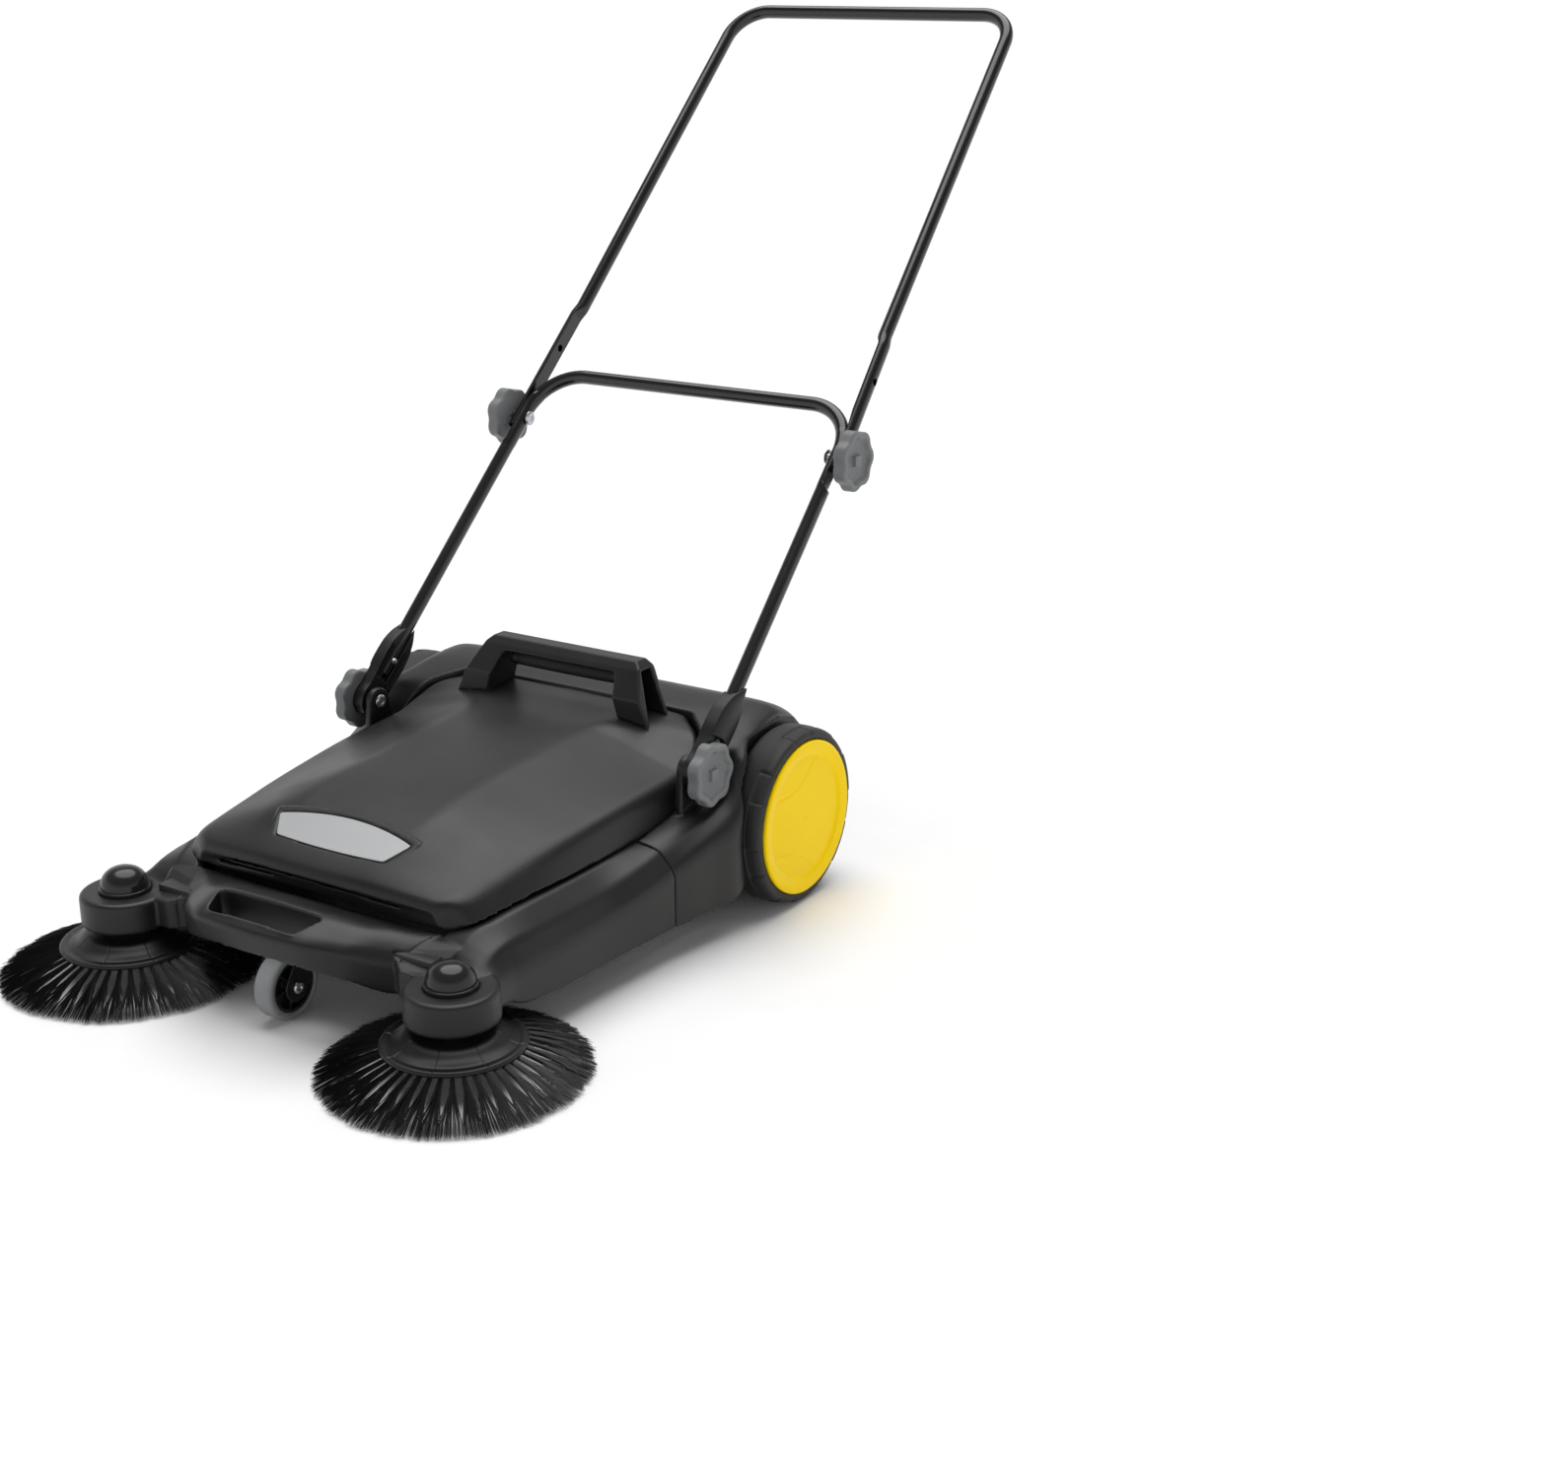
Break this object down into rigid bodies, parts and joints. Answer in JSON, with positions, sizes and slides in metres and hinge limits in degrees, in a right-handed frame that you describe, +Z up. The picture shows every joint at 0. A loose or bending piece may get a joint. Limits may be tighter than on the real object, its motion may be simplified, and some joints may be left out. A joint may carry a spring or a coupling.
{
  "type": "floor sweeper",
  "caption": "Hand-pushed floor sweeper with side brushes, a roller brush, a lift-out dirt container and a folding push handle.",
  "frame": {"origin": "centre of the bounding box, at floor level", "axes": "+X to the right of someone who faces the front of the machine, where the side brushes are; +Y from the brushes towards the push handle; +Z up. Names ending in _right are on the +X side."},
  "size_m": [0.6858, 1.2579, 0.9086],
  "materials": {
    "shell_black": "fine-grained satin moulding",
    "part_black": "satin moulding",
    "plastic_grey": "fine-grained satin moulding",
    "plastic_yellow": "satin moulding",
    "rubber_black": "matt rubber",
    "rubber_grey": "matt rubber",
    "bristle": "coarse plastic bristle",
    "tube_paint": "gloss black coat on steel tube",
    "steel": "bright zinc plate",
    "badge_silver": "satin silver plate with no lettering"
  },
  "bodies": {
    "chassis": {"front_frame": "shell_black", "front_bumper": "shell_black", "rear_housing": "shell_black", "dust_flap": "rubber_black", "dome_cap_right": "part_black", "dome_cap_left": "part_black", "stub_axle_right": "steel", "stub_axle_left": "steel", "roller_bush_right": "plastic_grey", "roller_bush_left": "plastic_grey", "brush_belt_right": "rubber_black", "brush_belt_left": "rubber_black", "pivot_bolt_right": "steel", "pivot_bolt_left": "steel"},
    "container": {"container_cover": "shell_black", "container_tray": "part_black", "carry_handle": "shell_black", "grip_bar": "part_black", "badge_plate": "badge_silver"},
    "right_wheel": {"wheel_rim_right": "part_black", "tyre_right": "rubber_black", "hub_disc_right": "plastic_yellow"},
    "left_wheel": {"wheel_rim_left": "part_black", "tyre_left": "rubber_black", "hub_disc_left": "plastic_yellow"},
    "right_pinion": {"drive_pinion_right": "plastic_grey"},
    "left_pinion": {"drive_pinion_left": "plastic_grey"},
    "roller": {"roller_core": "plastic_grey", "roller_bristles": "bristle", "belt_pulley_right": "plastic_grey", "belt_pulley_left": "plastic_grey"},
    "right_brush": {"brush_spindle_right": "plastic_grey", "brush_disc_right": "part_black", "brush_bristles_right": "bristle"},
    "left_brush": {"brush_spindle_left": "plastic_grey", "brush_disc_left": "part_black", "brush_bristles_left": "bristle"},
    "caster_swivel": {"caster_fork": "part_black", "caster_axle": "steel"},
    "caster_wheel": {"caster_tyre": "rubber_grey", "caster_hub": "part_black"},
    "lower_handle": {"lower_tube": "tube_paint", "pivot_bracket_right": "part_black", "pivot_bracket_left": "part_black", "bracket_rivet_right": "steel", "bracket_rivet_left": "steel", "joint_bolt_right": "steel", "joint_bolt_left": "steel"},
    "upper_handle": {"upper_tube": "tube_paint"},
    "right_pivot_knob": {"pivot_knob_right": "plastic_grey"},
    "left_pivot_knob": {"pivot_knob_left": "plastic_grey"},
    "right_joint_knob": {"joint_knob_right": "plastic_grey"},
    "left_joint_knob": {"joint_knob_left": "plastic_grey"}
  },
  "joints": [
    {"name": "container_lift", "type": "slide", "parent": "chassis", "child": "container", "axis": [0, 0, 1], "range_m": [0, 0.2]},
    {"name": "lower_handle_fold", "type": "hinge", "parent": "chassis", "child": "lower_handle", "pos_m": [0, -0.11457, 0.177], "axis": [1, 0, 0], "range_deg": [-8, 125]},
    {"name": "upper_handle_fold", "type": "hinge", "parent": "lower_handle", "child": "upper_handle", "pos_m": [0, 0.1722, 0.45009], "axis": [-1, 0, 0], "range_deg": [-150, 80]},
    {"name": "right_wheel_spin", "type": "hinge", "parent": "chassis", "child": "right_wheel", "pos_m": [0.256, 0.01043, 0.0966], "axis": [1, 0, 0], "continuous": true},
    {"name": "left_wheel_spin", "type": "hinge", "parent": "chassis", "child": "left_wheel", "pos_m": [-0.256, 0.01043, 0.0966], "axis": [1, 0, 0], "continuous": true},
    {"name": "right_pinion_spin", "type": "hinge", "parent": "chassis", "child": "right_pinion", "pos_m": [0.241, -0.02608, 0.07028], "axis": [1, 0, 0], "continuous": true},
    {"name": "left_pinion_spin", "type": "hinge", "parent": "chassis", "child": "left_pinion", "pos_m": [-0.241, -0.02608, 0.07028], "axis": [1, 0, 0], "continuous": true},
    {"name": "roller_spin", "type": "hinge", "parent": "chassis", "child": "roller", "pos_m": [0, -0.02608, 0.07028], "axis": [1, 0, 0], "continuous": true},
    {"name": "right_brush_spin", "type": "hinge", "parent": "chassis", "child": "right_brush", "pos_m": [0.2105, -0.49657, 0.06], "axis": [0, 0, 1], "continuous": true},
    {"name": "left_brush_spin", "type": "hinge", "parent": "chassis", "child": "left_brush", "pos_m": [-0.2105, -0.49657, 0.06], "axis": [0, 0, 1], "continuous": true},
    {"name": "caster_turn", "type": "hinge", "parent": "chassis", "child": "caster_swivel", "pos_m": [0, -0.47158, 0.08], "axis": [0, 0, 1], "continuous": true},
    {"name": "caster_spin", "type": "hinge", "parent": "caster_swivel", "child": "caster_wheel", "pos_m": [0, -0.49357, 0.0344], "axis": [1, 0, 0], "continuous": true},
    {"name": "right_pivot_knob_turn", "type": "hinge", "parent": "chassis", "child": "right_pivot_knob", "pos_m": [0.238, -0.11457, 0.177], "axis": [1, 0, 0], "continuous": true},
    {"name": "left_pivot_knob_turn", "type": "hinge", "parent": "chassis", "child": "left_pivot_knob", "pos_m": [-0.238, -0.11457, 0.177], "axis": [-1, 0, 0], "continuous": true},
    {"name": "right_joint_knob_turn", "type": "hinge", "parent": "lower_handle", "child": "right_joint_knob", "pos_m": [0.237, 0.1722, 0.45009], "axis": [1, 0, 0], "continuous": true},
    {"name": "left_joint_knob_turn", "type": "hinge", "parent": "lower_handle", "child": "left_joint_knob", "pos_m": [-0.237, 0.1722, 0.45009], "axis": [-1, 0, 0], "continuous": true}
  ],
  "couplings": [
    {"joint": "right_pinion_spin", "follows": "right_wheel_spin", "ratio": 4},
    {"joint": "left_pinion_spin", "follows": "left_wheel_spin", "ratio": 4},
    {"joint": "roller_spin", "follows": "right_wheel_spin", "ratio": 4},
    {"joint": "right_brush_spin", "follows": "right_wheel_spin", "ratio": -3.5122},
    {"joint": "left_brush_spin", "follows": "right_wheel_spin", "ratio": 3.5122}
  ]
}
